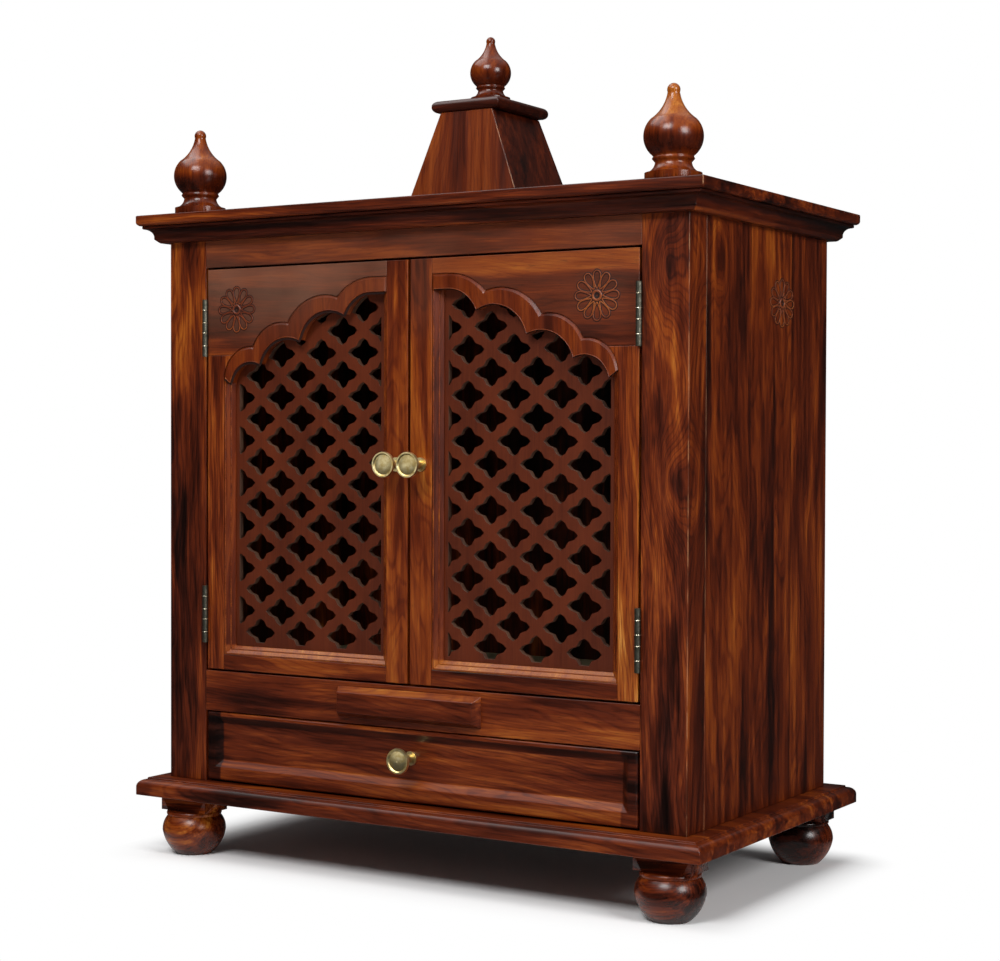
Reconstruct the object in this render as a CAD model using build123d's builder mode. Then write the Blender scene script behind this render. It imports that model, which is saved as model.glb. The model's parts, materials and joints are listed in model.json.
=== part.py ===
from build123d import *
from math import sqrt
import os

# Household shrine cabinet in millimetres. Z is up and the doors face -Y.
# The origin is on the floor under the middle of the carcass.

# Carcass
carcass_width = 600.0
carcass_depth = 315.0
carcass_height = 573.2
stile_width = 47.6
stile_depth = 35.0
rail_depth = 20.0
top_rail_height = 44.6
middle_rail_height = 41.4
drawer_opening_height = 73.1
side_thickness = 18.0
back_thickness = 12.0
floor_thickness = 12.0

# Base board and feet
plinth_thickness = 18.0
plinth_overhang = 25.5
plinth_step_overhang = 17.0
plinth_step_height = 2.0
plinth_nose_radius = 7.5
bun_radius = 32.8
bun_bottom_radius = 18.4
bun_height = 40.0
bun_widest_at = 25.0
bun_lower_bulge = 2.7
bun_upper_bulge = 1.5
foot_ring_radius = 28.5
foot_ring_height = 5.0
foot_neck_radius = 27.2
foot_block_width = 58.0
foot_block_depth = 36.0
foot_block_height = 16.0
foot_side_inset = 22.0
foot_front_inset = 12.0
foot_rear_inset = 7.5

# Top board and cornice
top_board_thickness = 10.8
top_board_overhang = 25.5
top_board_lower_radius = 4.0
top_board_upper_radius = 1.2
cornice_height = 17.2
cornice_bead_overhang = 20.8
cornice_bead_height = 3.2
cornice_cove_overhang = 12.2
cornice_cove_height = 7.2
cornice_cove_sag = 2.2
cornice_step_height = 3.0
cornice_lower_overhang = 7.9

# Front finials: radii, and heights above the top board
finial_side_inset = 25.3
finial_front_inset = 17.6
finial_base_radius = 26.1
finial_base_height = 9.0
finial_flare_sag = 2.4
finial_waist_radius = 16.6
finial_waist_at = 18.6
finial_collar_radius = 19.4
finial_collar_at = 21.8
finial_seat_radius = 18.2
finial_seat_at = 24.3
finial_radius = 27.2
finial_ball_at = 42.4
finial_shoulder_radius = 20.6
finial_shoulder_at = 57.7
finial_taper_radius = 12.2
finial_taper_at = 65.8
finial_neck_at = 81.6
finial_tip_radius = 6.0
finial_tip_at = 83.8

# Tower
tower_base_width = 137.0
tower_base_depth = 110.0
tower_top_width = 61.0
tower_top_depth = 93.0
tower_height = 99.6
tower_board = 9.0
tower_forward = 10.0
tower_cap_width = 79.5
tower_cap_depth = 99.5
tower_cap_thickness = 12.0
tower_cap_nose = 5.5
tower_finial_scale = 0.77

# Doors
door_thickness = 20.0
door_side_gap = 2.5
door_centre_gap = 3.0
door_end_gap = 2.0
meeting_stile_width = 24.9
hinge_stile_width = 20.9
bottom_rail_height = 15.6
arch_joint_height = 322.0
band_width = 14.5
jamb_width = 8.8
moulding_rounding = 2.5
moulding_groove = 1.5
moulding_proud = 1.0
moulding_slope_depth = 8.5
moulding_slope_start = 0.5
moulding_depth = 10.0
lattice_thickness = 6.0

# Arch of each door: how far across and down each lobe ends, and how far the
# later lobes bulge from their chords. The first lobe starts with a level run.
arch_lobe_span = (60.2, 61.4, 43.8)
arch_lobe_drop = (17.8, 23.8, 23.0)
arch_level_run = 19.0
arch_lobe_rise = (11.5, 8.7, 10.7)
arch_last_drop = 32.5
arch_top_height = 379.5
# How the lobes change for each millimetre that the outline is drawn inside
arch_cusp_shift = (0.66, 1.07, 0.65)
arch_cusp_fall = 1.22
arch_rise_growth = (0.22, 0.26, 0.0)
arch_spring_fall = 0.38
# The arched band ends on a slant above the plain moulding of the sides
band_end_height = 285.4
band_end_slant = 0.76

# Lattice
lattice_pitch_x = 51.1
lattice_pitch_z = 43.5
lattice_start_x = 34.8
lattice_start_z = 45.7
hole_width = 37.0
hole_height = 28.4
hole_shoulder = 0.80
hole_shoulder_narrow = 0.27
hole_notch = 0.435
lattice_side_border = 12.9
lattice_arch_border = 15.5
smallest_hole = 60.0

# Brass knobs
knob_radius = 12.6
knob_projection = 24.5
knob_flange_radius = 6.8
knob_flange_thickness = 1.6
knob_neck_radius = 4.0
knob_disc_thickness = 5.0
knob_back_bulge = 0.9
knob_edge_slant = 0.5
knob_dish = 1.2
knob_rim = 1.8
knob_from_centre = 14.0
door_knob_height = 329.0
drawer_knob_height = 44.0

# Hinges
hinge_length = 58.5
hinge_top_at = 496.0
hinge_bottom_at = 143.5
hinge_knuckle_radius = 2.75
hinge_axis_forward = 3.05
hinge_pin_radius = 1.2
hinge_pin_clearance = 0.2
hinge_leaf_thickness = 0.9
hinge_leaf_depth = 17.0
hinge_knuckle_gap = 0.3

# Drawer
drawer_front_gap = 2.0
drawer_front_bottom = 1.8
drawer_front_top_gap = 1.1
drawer_front_thickness = 20.0
drawer_edge_radius = 2.5
drawer_field_side_margin = 10.0
drawer_field_low_margin = 13.5
drawer_field_top_margin = 4.0
drawer_field_slope = 7.4
drawer_field_depth = 5.4
drawer_side_thickness = 12.0
drawer_side_inset = 2.0
drawer_side_height = 56.0
drawer_length = 265.0
drawer_bottom_thickness = 6.0
drawer_bottom_lift = 4.0
runner_clearance = 0.3
runner_thickness = 5.7
runner_ledge = 18.0
runner_side_clearance = 1.0
runner_guide_height = 26.0
runner_rear_gap = 10.0

# Raised block on the middle rail
rail_block_width = 167.4
rail_block_height = 31.0
rail_block_projection = 10.0
rail_block_bevel = 5.5
rail_block_centre = 94.6

# Levels and faces that the sizes above give
front = -carcass_depth / 2
rear = carcass_depth / 2
side = carcass_width / 2
inner_side = side - side_thickness
opening_side = side - stile_width
foot_top = bun_height + foot_ring_height
plinth_bottom = foot_top + foot_block_height
base = plinth_bottom + plinth_thickness
ceiling = base + carcass_height
top = ceiling + top_board_thickness
rail_bottom = base + drawer_opening_height
rail_top = rail_bottom + middle_rail_height
opening_top = ceiling - top_rail_height
door_bottom = rail_top + door_end_gap
door_top = opening_top - door_end_gap
door_inner = door_centre_gap / 2
door_outer = opening_side - door_side_gap
arch_left = door_inner + meeting_stile_width
arch_right = door_outer - hinge_stile_width
arch_bottom = door_bottom + bottom_rail_height
arch_top = arch_bottom + arch_top_height
band_end = arch_bottom + band_end_height
joint_level = door_bottom + arch_joint_height
lattice_front = front + moulding_depth
hinge_axis_x = opening_side - door_side_gap / 2
hinge_axis_y = front - hinge_axis_forward
tower_y = -tower_forward
tower_top = top + tower_height
cap_top = tower_top + tower_cap_thickness

os.makedirs("parts", exist_ok=True)


def block(x, y, z):
    """Adds a box between a low and a high value along each direction."""
    with Locations(((x[0] + x[1]) / 2, (y[0] + y[1]) / 2, (z[0] + z[1]) / 2)):
        Box(x[1] - x[0], y[1] - y[0], z[1] - z[0])


def upright(y):
    """The upright plane that faces the front at a given depth."""
    return Plane(origin=(0, y, 0), x_dir=(1, 0, 0), z_dir=(0, -1, 0))


def handed(right_part, hand):
    """A right-hand piece as it is, or its mirror image for the left."""
    return right_part if hand == "right" else mirror(right_part, about=Plane.YZ)


# Feet: a turned bun and ring under a square block


def foot(x, y):
    with BuildPart() as turned:
        with BuildSketch(Plane(origin=(x, y, 0), x_dir=(1, 0, 0), z_dir=(0, -1, 0))):
            with BuildLine():
                Line((0, 0), (bun_bottom_radius, 0))
                widest = (bun_radius, bun_widest_at)
                neck = (foot_neck_radius, bun_height)
                ring_top = (foot_neck_radius, foot_top)
                SagittaArc((bun_bottom_radius, 0), widest, -bun_lower_bulge)
                SagittaArc(widest, neck, -bun_upper_bulge)
                SagittaArc(neck, ring_top, foot_neck_radius - foot_ring_radius)
                Line(ring_top, (0, foot_top))
                Line((0, foot_top), (0, 0))
            make_face()
        revolve(axis=Axis((x, y, 0), (0, 0, 1)))
        half_x = foot_block_width / 2
        half_y = foot_block_depth / 2
        block((x - half_x, x + half_x), (y - half_y, y + half_y), (foot_top, plinth_bottom))
    return turned


foot_x = side - foot_side_inset
foot_places = {
    "foot_front_left": (-foot_x, front + foot_front_inset),
    "foot_front_right": (foot_x, front + foot_front_inset),
    "foot_rear_left": (-foot_x, rear - foot_rear_inset),
    "foot_rear_right": (foot_x, rear - foot_rear_inset),
}
for foot_name, (foot_at_x, foot_at_y) in foot_places.items():
    one_foot = foot(foot_at_x, foot_at_y)
    one_foot.part.label = foot_name
    export_step(one_foot.part, f"parts/{foot_name}.step")

# Plinth board with a stepped and rounded edge

with BuildPart() as plinth_board:
    nose_x = side + plinth_overhang
    nose_y = rear + plinth_overhang
    step_x = side + plinth_step_overhang
    step_y = rear + plinth_step_overhang
    step_z = base - plinth_step_height
    block((-nose_x, nose_x), (-nose_y, nose_y), (plinth_bottom, step_z))
    fillet(plinth_board.faces().sort_by(Axis.Z)[-1].edges(), plinth_nose_radius)
    block((-step_x, step_x), (-step_y, step_y), (step_z, base))
plinth_board.part.label = "plinth_board"
export_step(plinth_board.part, "parts/plinth_board.step")

# Carcass: front stiles, side boards, back, rails and the shrine's floor

for hand, sign in (("left", -1), ("right", 1)):
    outer = sorted((sign * side, sign * opening_side))
    with BuildPart() as front_stile:
        block(outer, (front, front + stile_depth), (base, ceiling))
    front_stile.part.label = f"{hand}_front_stile"
    export_step(front_stile.part, f"parts/{hand}_front_stile.step")

    outer = sorted((sign * side, sign * inner_side))
    with BuildPart() as side_panel:
        block(outer, (front + stile_depth, rear), (base, ceiling))
    side_panel.part.label = f"{hand}_side_panel"
    export_step(side_panel.part, f"parts/{hand}_side_panel.step")

with BuildPart() as back_panel:
    block((-inner_side, inner_side), (rear - back_thickness, rear), (base, ceiling))
back_panel.part.label = "back_panel"
export_step(back_panel.part, "parts/back_panel.step")

with BuildPart() as top_rail:
    block((-opening_side, opening_side), (front, front + rail_depth), (opening_top, ceiling))
top_rail.part.label = "top_rail"
export_step(top_rail.part, "parts/top_rail.step")

with BuildPart() as middle_rail:
    block((-opening_side, opening_side), (front, front + rail_depth), (rail_bottom, rail_top))
middle_rail.part.label = "middle_rail"
export_step(middle_rail.part, "parts/middle_rail.step")

with BuildPart() as rail_block:
    with BuildSketch(upright(front)):
        with Locations((0, base + rail_block_centre)):
            Rectangle(rail_block_width, rail_block_height)
    with BuildSketch(upright(front - rail_block_projection)):
        with Locations((0, base + rail_block_centre)):
            face_width = rail_block_width - 2 * rail_block_bevel
            face_height = rail_block_height - 2 * rail_block_bevel
            Rectangle(face_width, face_height)
    loft(ruled=True)
rail_block.part.label = "rail_block"
export_step(rail_block.part, "parts/rail_block.step")

with BuildPart() as shrine_floor:
    floor_z = (rail_top - floor_thickness, rail_top)
    block((-opening_side, opening_side), (front + rail_depth, front + stile_depth), floor_z)
    block((-inner_side, inner_side), (front + stile_depth, rear - back_thickness), floor_z)
shrine_floor.part.label = "shrine_floor"
export_step(shrine_floor.part, "parts/shrine_floor.step")

# Top board and the cornice under it, mitred at the corners

with BuildPart() as top_board:
    edge_x = side + top_board_overhang
    edge_y = rear + top_board_overhang
    block((-edge_x, edge_x), (-edge_y, edge_y), (ceiling, top))
    fillet(top_board.faces().sort_by(Axis.Z)[0].edges(), top_board_lower_radius)
    fillet(top_board.faces().sort_by(Axis.Z)[-1].edges(), top_board_upper_radius)
top_board.part.label = "top_board"
export_step(top_board.part, "parts/top_board.step")


def cornice_bar(half_length, offset):
    """The cornice along the front of a carcass of the given half sizes."""
    with BuildPart() as bar:
        with BuildSketch(Plane.YZ.offset(-half_length - cornice_bead_overhang)):
            with BuildLine():
                bead_low = ceiling - cornice_bead_height
                cove_low = bead_low - cornice_cove_height
                step_low = cove_low - cornice_step_height
                low = ceiling - cornice_height
                bead_y = -offset - cornice_bead_overhang
                cove_y = -offset - cornice_cove_overhang
                low_y = -offset - cornice_lower_overhang
                Polyline((-offset, low), (-offset, ceiling), (bead_y, ceiling), (bead_y, bead_low))
                SagittaArc((bead_y, bead_low), (cove_y, cove_low), cornice_cove_sag)
                Polyline((cove_y, cove_low), (cove_y, step_low), (low_y, low), (-offset, low))
            make_face()
        extrude(amount=2 * (half_length + cornice_bead_overhang))
        for end in (-1, 1):
            corner = Plane(origin=(end * half_length, -offset, 0), z_dir=(end, 1, 0))
            split(bisect_by=corner, keep=Keep.BOTTOM)
    return bar.part


cornice_sides = {
    "cornice_front": (side, rear, 0),
    "cornice_right": (rear, side, 90),
    "cornice_back": (side, rear, 180),
    "cornice_left": (rear, side, 270),
}
for cornice_name, (half_length, offset, turn) in cornice_sides.items():
    with BuildPart() as cornice:
        add(cornice_bar(half_length, offset), rotation=(0, 0, turn))
    cornice.part.label = cornice_name
    export_step(cornice.part, f"parts/{cornice_name}.step")

# Turned finials: flared base, waist, collar, onion and a small rounded tip


def finial(x, y, z, size):
    """A turned finial whose base stands at the given height."""

    def at(radius, height):
        return (size * radius, size * height)

    with BuildPart() as turned:
        with BuildSketch(Plane(origin=(x, y, z), x_dir=(1, 0, 0), z_dir=(0, -1, 0))):
            with BuildLine():
                base_edge = at(finial_base_radius, finial_base_height)
                waist = at(finial_waist_radius, finial_waist_at)
                seat = at(finial_seat_radius, finial_seat_at)
                ball = at(finial_radius, finial_ball_at)
                shoulder = at(finial_shoulder_radius, finial_shoulder_at)
                taper = at(finial_taper_radius, finial_taper_at)
                tip_drop = finial_tip_at - finial_neck_at
                neck = at(sqrt(finial_tip_radius**2 - tip_drop**2), finial_neck_at)
                slant = finial_tip_radius / sqrt(2)
                tip_side = at(slant, finial_tip_at + slant)
                tip = at(0, finial_tip_at + finial_tip_radius)
                Polyline((0, 0), at(finial_base_radius, 0), base_edge)
                SagittaArc(base_edge, waist, size * finial_flare_sag)
                Polyline(waist, at(finial_collar_radius, finial_collar_at), seat)
                ThreePointArc(seat, ball, shoulder)
                ThreePointArc(shoulder, taper, neck)
                ThreePointArc(neck, tip_side, tip)
                Line(tip, (0, 0))
            make_face()
        revolve(axis=Axis((x, y, z), (0, 0, 1)))
    return turned


for hand, sign in (("left", -1), ("right", 1)):
    at_x = sign * (side - finial_side_inset)
    front_finial = finial(at_x, front + finial_front_inset, top, 1.0)
    front_finial.part.label = f"{hand}_finial"
    export_step(front_finial.part, f"parts/{hand}_finial.step")

tower_finial = finial(0, tower_y, cap_top, tower_finial_scale)
tower_finial.part.label = "tower_finial"
export_step(tower_finial.part, "parts/tower_finial.step")

# Hollow tower of four leaning boards under a round-edged cap


def tower_board_between(low_corners, high_corners):
    """A leaning board lofted between its lower and its upper outline."""
    with BuildPart() as board:
        with BuildSketch(Plane.XY.offset(top)):
            Polygon(*low_corners, align=None)
        with BuildSketch(Plane.XY.offset(tower_top)):
            Polygon(*high_corners, align=None)
        loft(ruled=True)
    return board


def tower_outline(half_width, half_depth, wall):
    """The corners of the front or back board in plan, mitred at both ends."""
    inner_x = half_width - wall
    outer_y = tower_y - half_depth
    inner_y = outer_y + wall
    return [(-half_width, outer_y), (half_width, outer_y), (inner_x, inner_y), (-inner_x, inner_y)]


def tower_side_outline(half_width, half_depth, wall):
    """The corners of the right-hand board in plan, mitred at both ends."""
    inner_x = half_width - wall
    low_y = tower_y - half_depth
    high_y = tower_y + half_depth
    return [(half_width, low_y), (half_width, high_y), (inner_x, high_y - wall), (inner_x, low_y + wall)]


low_size = (tower_base_width / 2, tower_base_depth / 2, tower_board)
high_size = (tower_top_width / 2, tower_top_depth / 2, tower_board)
tower_front = tower_board_between(tower_outline(*low_size), tower_outline(*high_size))
tower_front.part.label = "tower_front"
export_step(tower_front.part, "parts/tower_front.step")

with BuildPart() as tower_back:
    mirror(tower_front.part, about=Plane.XZ.offset(-tower_y))
tower_back.part.label = "tower_back"
export_step(tower_back.part, "parts/tower_back.step")

tower_right = tower_board_between(tower_side_outline(*low_size), tower_side_outline(*high_size))
tower_right.part.label = "tower_right"
export_step(tower_right.part, "parts/tower_right.step")

with BuildPart() as tower_left:
    mirror(tower_right.part, about=Plane.YZ)
tower_left.part.label = "tower_left"
export_step(tower_left.part, "parts/tower_left.step")

with BuildPart() as tower_cap:
    half_x = tower_cap_width / 2
    half_y = tower_cap_depth / 2
    block((-half_x, half_x), (tower_y - half_y, tower_y + half_y), (tower_top, cap_top))
    fillet(tower_cap.faces().sort_by(Axis.Z)[0].edges(), tower_cap_nose)
    fillet(tower_cap.faces().sort_by(Axis.Z)[-1].edges(), tower_cap_nose)
tower_cap.part.label = "tower_cap"
export_step(tower_cap.part, "parts/tower_cap.step")

# Doors: stiles, rails, cusped moulding and pierced lattice


def arch_outline(lobe_inset, side_inset):
    """The door's opening as a face, drawn inside its full size by two insets."""
    left = arch_left + side_inset
    right = arch_right - side_inset
    bottom = arch_bottom + side_inset
    level = arch_top - lobe_inset
    x = arch_left
    z = arch_top
    cusps = []
    for span, drop, shift in zip(arch_lobe_span, arch_lobe_drop, arch_cusp_shift):
        x = x + span
        z = z - drop
        cusps.append((x - shift * lobe_inset, z - arch_cusp_fall * lobe_inset))
    ends = cusps + [(right, z - arch_last_drop - arch_spring_fall * lobe_inset)]
    level_end = (arch_left + arch_level_run, level)
    with BuildSketch() as outline:
        with BuildLine():
            Line((left, level), level_end)
            TangentArc(level_end, ends[0], tangent=(1, 0))
            for place, rise in enumerate(arch_lobe_rise):
                bulge = rise + arch_rise_growth[place] * lobe_inset
                SagittaArc(ends[place], ends[place + 1], bulge)
            Polyline(ends[-1], (right, bottom), (left, bottom), (left, level))
        make_face()
    return outline.sketch


def side_moulding_cut(inset):
    """Where the plain moulding of the sides is cut, below the arched band."""
    slant_end = band_end - band_end_slant * inset
    Polygon(
        (arch_left + inset, arch_bottom + inset),
        (arch_right - inset, arch_bottom + inset),
        (arch_right - inset, slant_end),
        (arch_right - band_width, band_end - band_end_slant * band_width),
        (arch_left + band_width, joint_level),
        (arch_left + band_width, arch_top - band_width),
        (arch_left + inset, arch_top - band_width),
        align=None,
    )


door_back = front + door_thickness
door_members = {}

with BuildPart() as meeting_stile:
    block((door_inner, arch_left), (front, door_back), (door_bottom, door_top))
door_members["meeting_stile"] = meeting_stile.part

with BuildPart() as arched_rail:
    block((arch_left, door_outer), (front, door_back), (joint_level, door_top))
    with BuildSketch(upright(front)):
        add(arch_outline(0, 0))
    extrude(amount=-door_thickness, mode=Mode.SUBTRACT)
door_members["arched_rail"] = arched_rail.part

with BuildPart() as hinge_stile:
    haunch_low = arch_top - sum(arch_lobe_drop) - arch_last_drop
    haunch_left = arch_left + sum(arch_lobe_span)
    block((arch_right, door_outer), (front, door_back), (door_bottom, joint_level))
    block((haunch_left, door_outer), (front, door_back), (haunch_low, joint_level))
    with BuildSketch(upright(front)):
        add(arch_outline(0, 0))
    extrude(amount=-door_thickness, mode=Mode.SUBTRACT)
door_members["hinge_stile"] = hinge_stile.part

with BuildPart() as bottom_rail:
    block((arch_left, arch_right), (front, door_back), (door_bottom, arch_bottom))
door_members["bottom_rail"] = bottom_rail.part

with BuildPart() as moulding:
    with BuildSketch(upright(front + moulding_groove)):
        add(arch_outline(0, 0))
    extrude(amount=moulding_groove - moulding_depth)
    with BuildSketch(upright(front + moulding_groove)):
        add(arch_outline(0, 0))
    with BuildSketch(upright(front - moulding_proud)):
        add(arch_outline(moulding_rounding, moulding_rounding))
    loft(ruled=True)
    with BuildSketch(upright(front - moulding_proud)):
        add(arch_outline(band_width, jamb_width))
    extrude(amount=-moulding_proud - moulding_depth, mode=Mode.SUBTRACT)
    slope_rate = jamb_width / (moulding_slope_depth - moulding_slope_start)
    with BuildSketch(upright(front - moulding_proud)):
        side_moulding_cut(-slope_rate * (moulding_proud + moulding_slope_start))
    with BuildSketch(upright(front + moulding_slope_depth)):
        side_moulding_cut(jamb_width)
    loft(ruled=True, mode=Mode.SUBTRACT)
door_members["moulding"] = moulding.part


def lattice_hole():
    """One pierced hole: a diamond with a lobe at each corner."""
    half_x = hole_width / 2
    half_z = hole_height / 2
    quarter = [(1, 0), (hole_shoulder, hole_shoulder_narrow), (hole_notch, hole_notch)]
    quarter.append((hole_shoulder_narrow, hole_shoulder))
    corners = []
    for turn in range(4):
        for along, across in quarter:
            a, b = along, across
            for _ in range(turn):
                a, b = -b, a
            corners.append((half_x * a, half_z * b))
    Polygon(*corners, align=None)


# Holes lie in staggered columns, and those cut by the frame stop at its border

hole_places = []
for column in range(int(2 * (arch_right - arch_left) / lattice_pitch_x) + 2):
    for row in range(int(2 * (arch_top - arch_bottom) / lattice_pitch_z) + 2):
        if (column + row) % 2 == 0:
            place_x = arch_left + lattice_start_x + (column - 1) * lattice_pitch_x / 2
            place_z = arch_bottom + lattice_start_z + (row - 1) * lattice_pitch_z / 2
            hole_places.append((place_x, place_z))

with BuildSketch() as hole_pattern:
    with Locations(*hole_places):
        lattice_hole()
    add(arch_outline(lattice_arch_border, lattice_side_border), mode=Mode.INTERSECT)

with BuildSketch() as pierced_field:
    add(arch_outline(0, 0))
    holes = [hole for hole in hole_pattern.sketch.faces() if hole.area > smallest_hole]
    add(holes, mode=Mode.SUBTRACT)

with BuildPart() as lattice:
    with BuildSketch(upright(lattice_front)):
        add(pierced_field.sketch)
    extrude(amount=-lattice_thickness)
door_members["lattice"] = lattice.part

for hand in ("left", "right"):
    for member_name, member in door_members.items():
        node = f"{hand}_door_{member_name}"
        sided_member = handed(member, hand)
        with BuildPart() as door_member:
            add(sided_member, clean=False)
        door_member.part.label = node
        export_step(door_member.part, f"parts/{node}.step")

# Brass knobs: a dished disc on a waisted neck and a round flange


def knob(x, y, z):
    """A turned knob whose flange seats on an upright face at depth y."""
    with BuildPart() as turned:
        with BuildSketch(Plane(origin=(x, y, z), x_dir=(1, 0, 0), z_dir=(0, 0, 1))):
            with BuildLine():
                reach = -knob_projection
                back = reach + knob_disc_thickness
                neck_front = (knob_neck_radius, back)
                neck_back = (knob_neck_radius, -knob_flange_thickness)
                rim_inner = (knob_radius - knob_rim, reach)
                Polyline((0, 0), (knob_flange_radius, 0), (knob_flange_radius, -knob_flange_thickness))
                Polyline((knob_flange_radius, -knob_flange_thickness), neck_back, neck_front)
                edge = (knob_radius, reach + knob_disc_thickness / 2)
                SagittaArc(neck_front, edge, knob_back_bulge)
                Polyline(edge, (knob_radius - knob_edge_slant, reach), rim_inner)
                dish_radius = knob_radius - knob_rim - knob_dish
                dish = (dish_radius, reach + knob_dish)
                dome_radius = (dish_radius**2 + knob_dish**2) / (2 * knob_dish)
                middle = dish_radius / 2
                dome_fall = dome_radius - sqrt(dome_radius**2 - middle**2)
                Line(rim_inner, dish)
                ThreePointArc(dish, (middle, reach + dome_fall), (0, reach))
                Line((0, reach), (0, 0))
            make_face()
        revolve(axis=Axis((x, y, z), (0, 1, 0)))
    return turned


for hand, sign in (("left", -1), ("right", 1)):
    door_knob = knob(sign * knob_from_centre, front, base + door_knob_height)
    door_knob.part.label = f"{hand}_door_knob"
    export_step(door_knob.part, f"parts/{hand}_door_knob.step")

# Hinges: two per door, five knuckles each, three on the frame and two on the door


def barrel(radius, low, high, mode=Mode.ADD):
    """A round bar on the right-hand hinge's axis, between two levels."""
    with Locations((hinge_axis_x, hinge_axis_y, (low + high) / 2)):
        Cylinder(radius, high - low, mode=mode)


def hinge_levels(top_at):
    """The five knuckles of a hinge from its top down, each as (low, high)."""
    pitch = hinge_length / 5
    half_gap = hinge_knuckle_gap / 2
    levels = []
    for place in range(5):
        high = base + top_at - place * pitch
        levels.append((high - pitch + half_gap, high - half_gap))
    return levels


with BuildPart() as frame_leaves:
    for top_at in (hinge_top_at, hinge_bottom_at + hinge_length):
        levels = hinge_levels(top_at)
        leaf_x = (opening_side - hinge_leaf_thickness, opening_side)
        barrel(hinge_pin_radius, levels[-1][0], levels[0][1])
        block(leaf_x, (front, front + hinge_leaf_depth), (levels[-1][0], levels[0][1]))
        for low, high in levels[::2]:
            barrel(hinge_knuckle_radius, low, high)
            block(leaf_x, (hinge_axis_y, front), (low, high))

with BuildPart() as door_leaves:
    for top_at in (hinge_top_at, hinge_bottom_at + hinge_length):
        levels = hinge_levels(top_at)
        leaf_x = (door_outer, door_outer + hinge_leaf_thickness)
        block(leaf_x, (front, front + hinge_leaf_depth), (levels[-1][0], levels[0][1]))
        for low, high in levels[1::2]:
            block(leaf_x, (hinge_axis_y, front), (low, high))
            barrel(hinge_knuckle_radius, low, high)
            barrel(hinge_pin_radius + hinge_pin_clearance, low, high, mode=Mode.SUBTRACT)

for hand in ("left", "right"):
    sided_frame_leaves = handed(frame_leaves.part, hand)
    sided_door_leaves = handed(door_leaves.part, hand)
    with BuildPart() as frame_side:
        add(sided_frame_leaves, clean=False)
    frame_side.part.label = f"{hand}_hinge_frame_leaves"
    export_step(frame_side.part, f"parts/{hand}_hinge_frame_leaves.step")
    with BuildPart() as door_side:
        add(sided_door_leaves, clean=False)
    door_side.part.label = f"{hand}_hinge_door_leaves"
    export_step(door_side.part, f"parts/{hand}_hinge_door_leaves.step")

# Drawer: moulded front, sides, back, bottom and knob, on runners

drawer_half = opening_side - drawer_front_gap
drawer_low = base + drawer_front_bottom
drawer_high = rail_bottom - drawer_front_top_gap
drawer_back = front + drawer_front_thickness
box_half = drawer_half - drawer_side_inset
box_inner = box_half - drawer_side_thickness
box_low = base + runner_thickness + runner_clearance
box_high = box_low + drawer_side_height
box_rear = drawer_back + drawer_length

with BuildPart() as drawer_front:
    block((-drawer_half, drawer_half), (front, drawer_back), (drawer_low, drawer_high))
    fillet(drawer_front.faces().sort_by(Axis.Y)[0].edges(), drawer_edge_radius)
    field_half = drawer_half - drawer_field_side_margin
    field_low = drawer_low + drawer_field_low_margin
    field_high = drawer_high - drawer_field_top_margin
    with BuildSketch(upright(front)):
        with Locations((0, (field_low + field_high) / 2)):
            Rectangle(2 * field_half, field_high - field_low)
    with BuildSketch(upright(front + drawer_field_depth)):
        with Locations((0, (field_low + field_high) / 2)):
            inner_width = 2 * (field_half - drawer_field_slope)
            Rectangle(inner_width, field_high - field_low - 2 * drawer_field_slope)
    loft(ruled=True, mode=Mode.SUBTRACT)
drawer_front.part.label = "drawer_front"
export_step(drawer_front.part, "parts/drawer_front.step")

for hand, sign in (("left", -1), ("right", 1)):
    with BuildPart() as drawer_side:
        block(sorted((sign * box_half, sign * box_inner)), (drawer_back, box_rear), (box_low, box_high))
    drawer_side.part.label = f"drawer_{hand}_side"
    export_step(drawer_side.part, f"parts/drawer_{hand}_side.step")

    guide_inner = box_half + runner_side_clearance
    ledge_inner = guide_inner - runner_ledge
    runner_y = (front + stile_depth, rear - back_thickness - runner_rear_gap)
    with BuildPart() as runner:
        block(sorted((sign * inner_side, sign * ledge_inner)), runner_y, (base, base + runner_thickness))
        block(sorted((sign * inner_side, sign * guide_inner)), runner_y, (base, base + runner_guide_height))
    runner.part.label = f"{hand}_drawer_runner"
    export_step(runner.part, f"parts/{hand}_drawer_runner.step")

with BuildPart() as drawer_rear:
    bottom_low = box_low + drawer_bottom_lift
    bottom_high = bottom_low + drawer_bottom_thickness
    rear_y = (box_rear - drawer_side_thickness, box_rear)
    block((-box_inner, box_inner), rear_y, (bottom_high, box_high))
drawer_rear.part.label = "drawer_back"
export_step(drawer_rear.part, "parts/drawer_back.step")

with BuildPart() as drawer_bottom:
    block((-box_inner, box_inner), (drawer_back, box_rear), (bottom_low, bottom_high))
drawer_bottom.part.label = "drawer_bottom"
export_step(drawer_bottom.part, "parts/drawer_bottom.step")

drawer_knob = knob(0, front + drawer_field_depth, base + drawer_knob_height)
drawer_knob.part.label = "drawer_knob"
export_step(drawer_knob.part, "parts/drawer_knob.step")
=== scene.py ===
import json
import math

import bmesh
import bpy
from mathutils import Matrix, Vector


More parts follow.
